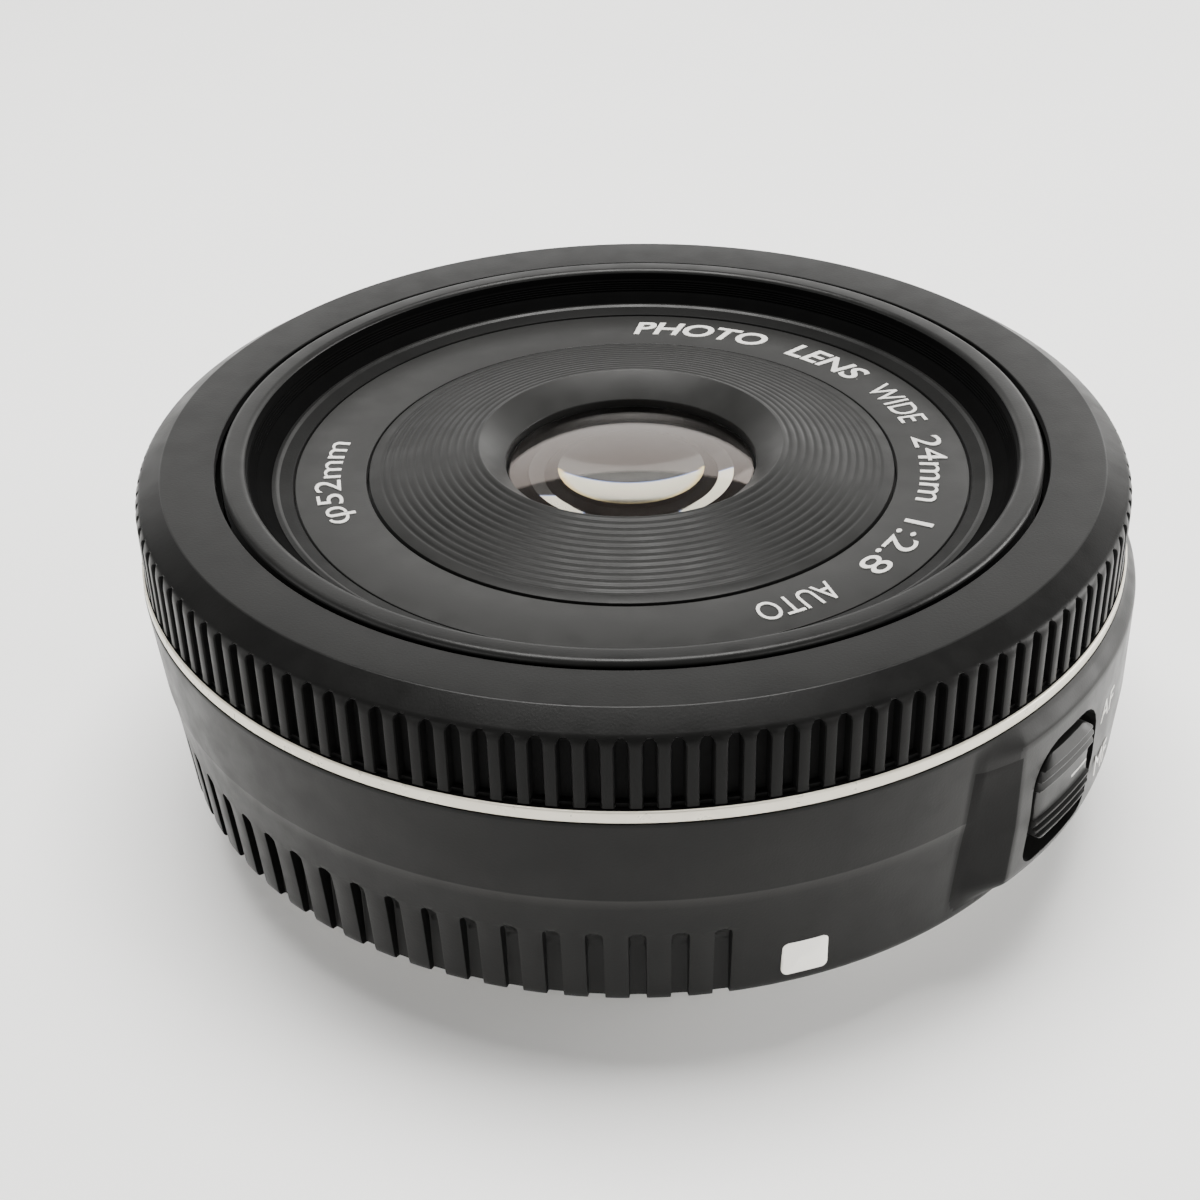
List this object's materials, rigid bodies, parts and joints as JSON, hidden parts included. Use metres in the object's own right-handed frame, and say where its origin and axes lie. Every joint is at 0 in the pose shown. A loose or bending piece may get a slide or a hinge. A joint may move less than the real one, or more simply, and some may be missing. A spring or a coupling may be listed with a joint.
{
  "type": "prime camera lens",
  "caption": "Slim interchangeable prime lens with ribbed focus ring, focus-mode slider, filter thread, iris and bayonet mount.",
  "frame": {"origin": "centre of the mount flange's rear face, on the optical axis", "axes": "+Z along the optical axis towards the front glass; -Y between the index mark and the first grip flutes; the focus-mode switch is towards +X and a little to -Y"},
  "size_m": [0.0694, 0.0686, 0.028],
  "materials": {
    "black_plastic": "fine satin black moulding",
    "matt_black": "matt black, anti-reflection",
    "name_ring_grey": "satin warm grey-black with white lettering",
    "silver_trim": "satin silver",
    "mount_metal": "plated, lightly turned",
    "steel": "plain",
    "brass": "gold-plated or plain brass",
    "white_mark": "glossy off-white",
    "gear_plastic": "natural gear plastic",
    "board_green": "solder-mask green",
    "glass": "multi-coated glass"
  },
  "bodies": {
    "casing": {"rear_casing": "black_plastic", "index_mark": "white_mark", "trim_ring": "silver_trim", "mount_ring": "mount_metal", "mount_screw_1": "steel", "mount_screw_2": "steel", "mount_screw_3": "steel", "mount_screw_4": "steel", "contact_block": "matt_black", "contact_pin_1": "brass", "contact_pin_2": "brass", "contact_pin_3": "brass", "contact_pin_4": "brass", "contact_pin_5": "brass", "contact_pin_6": "brass", "contact_pin_7": "brass", "rear_baffle": "matt_black", "fixed_barrel": "matt_black", "photo_interrupter": "matt_black", "gear_plate": "steel", "gear_cover": "steel", "focus_motor": "steel", "circuit_board": "board_green"},
    "manual_ring": {"focus_ring": "black_plastic", "focus_encoder": "steel"},
    "drive": {"drive_ring": "gear_plastic"},
    "optical_group": {"focusing_barrel": "black_plastic", "cam_pin_1": "steel", "cam_pin_2": "steel", "cam_pin_3": "steel", "name_ring": "name_ring_grey", "front_baffle": "matt_black", "front_retainer": "matt_black", "front_cell": "matt_black", "rear_cell": "matt_black", "rear_retainer": "matt_black", "lens_1": "glass", "lens_2": "glass", "lens_3": "glass", "lens_4": "glass", "lens_5": "glass", "lens_6": "glass", "aperture_base": "matt_black", "aperture_cover": "matt_black", "aperture_motor": "steel"},
    "iris_ring": {"aperture_ring": "gear_plastic"},
    "iris_pinion": {"aperture_pinion": "brass"},
    "idler_gear": {"reduction_gear_2": "gear_plastic"},
    "double_gear": {"reduction_gear_1": "gear_plastic"},
    "motor_rotor": {"motor_pinion": "brass"},
    "mode_switch": {"switch_knob": "black_plastic", "switch_carrier": "brass"},
    "blade_1": {"aperture_blade_1": "steel"},
    "blade_2": {"aperture_blade_2": "steel"},
    "blade_3": {"aperture_blade_3": "steel"},
    "blade_4": {"aperture_blade_4": "steel"},
    "blade_5": {"aperture_blade_5": "steel"},
    "blade_6": {"aperture_blade_6": "steel"},
    "blade_7": {"aperture_blade_7": "steel"}
  },
  "joints": [
    {"name": "focus_ring_turn", "type": "hinge", "parent": "casing", "child": "manual_ring", "pos_m": [0, 0, 0.018], "axis": [0, 0, 1], "continuous": true},
    {"name": "focus_drive_turn", "type": "hinge", "parent": "casing", "child": "drive", "pos_m": [0, 0, 0.012], "axis": [0, 0, 1], "range_deg": [0, 60]},
    {"name": "barrel_slide", "type": "slide", "parent": "casing", "child": "optical_group", "axis": [0, 0, 1], "range_m": [0, 0.0055]},
    {"name": "idler_spin", "type": "hinge", "parent": "casing", "child": "idler_gear", "pos_m": [0.0115, 0.01992, 0.0056], "axis": [0, 0, 1], "range_deg": [0, 405.5]},
    {"name": "double_gear_spin", "type": "hinge", "parent": "casing", "child": "double_gear", "pos_m": [0.00563, 0.02116, 0.005], "axis": [0, 0, 1], "range_deg": [-810.5, 0]},
    {"name": "motor_spin", "type": "hinge", "parent": "casing", "child": "motor_rotor", "pos_m": [-0.00035, 0.0216, 0.005], "axis": [0, 0, 1], "range_deg": [0, 1620.5]},
    {"name": "iris_ring_turn", "type": "hinge", "parent": "optical_group", "child": "iris_ring", "pos_m": [0, 0, 0.0138], "axis": [0, 0, 1], "range_deg": [0, 30]},
    {"name": "iris_motor_spin", "type": "hinge", "parent": "optical_group", "child": "iris_pinion", "pos_m": [-0.01311, -0.00918, 0.0138], "axis": [0, 0, 1], "range_deg": [-210.5, 0]},
    {"name": "switch_slide", "type": "slide", "parent": "casing", "child": "mode_switch", "axis": [0, 0, -1], "range_m": [0, 0.0014]},
    {"name": "blade_1_swing", "type": "hinge", "parent": "optical_group", "child": "blade_1", "pos_m": [0.0131, 0, 0.01236], "axis": [0, 0, 1], "range_deg": [0, 24.1]},
    {"name": "blade_2_swing", "type": "hinge", "parent": "optical_group", "child": "blade_2", "pos_m": [0.00817, 0.01024, 0.01252], "axis": [0, 0, 1], "range_deg": [0, 24.1]},
    {"name": "blade_3_swing", "type": "hinge", "parent": "optical_group", "child": "blade_3", "pos_m": [-0.00292, 0.01277, 0.01269], "axis": [0, 0, 1], "range_deg": [0, 24.1]},
    {"name": "blade_4_swing", "type": "hinge", "parent": "optical_group", "child": "blade_4", "pos_m": [-0.0118, 0.00568, 0.01286], "axis": [0, 0, 1], "range_deg": [0, 24.1]},
    {"name": "blade_5_swing", "type": "hinge", "parent": "optical_group", "child": "blade_5", "pos_m": [-0.0118, -0.00568, 0.01302], "axis": [0, 0, 1], "range_deg": [0, 24.1]},
    {"name": "blade_6_swing", "type": "hinge", "parent": "optical_group", "child": "blade_6", "pos_m": [-0.00292, -0.01277, 0.01319], "axis": [0, 0, 1], "range_deg": [0, 24.1]},
    {"name": "blade_7_swing", "type": "hinge", "parent": "optical_group", "child": "blade_7", "pos_m": [0.00817, -0.01024, 0.01335], "axis": [0, 0, 1], "range_deg": [0, 24.1]}
  ],
  "couplings": [
    {"joint": "barrel_slide", "follows": "focus_drive_turn", "m_per_rad": 0.0052521},
    {"joint": "idler_spin", "follows": "focus_drive_turn", "ratio": 6.75},
    {"joint": "double_gear_spin", "follows": "focus_drive_turn", "ratio": -13.5},
    {"joint": "motor_spin", "follows": "focus_drive_turn", "ratio": 27},
    {"joint": "iris_motor_spin", "follows": "iris_ring_turn", "ratio": -7},
    {"joint": "blade_1_swing", "follows": "iris_ring_turn", "ratio": 0.8},
    {"joint": "blade_2_swing", "follows": "iris_ring_turn", "ratio": 0.8},
    {"joint": "blade_3_swing", "follows": "iris_ring_turn", "ratio": 0.8},
    {"joint": "blade_4_swing", "follows": "iris_ring_turn", "ratio": 0.8},
    {"joint": "blade_5_swing", "follows": "iris_ring_turn", "ratio": 0.8},
    {"joint": "blade_6_swing", "follows": "iris_ring_turn", "ratio": 0.8},
    {"joint": "blade_7_swing", "follows": "iris_ring_turn", "ratio": 0.8}
  ]
}
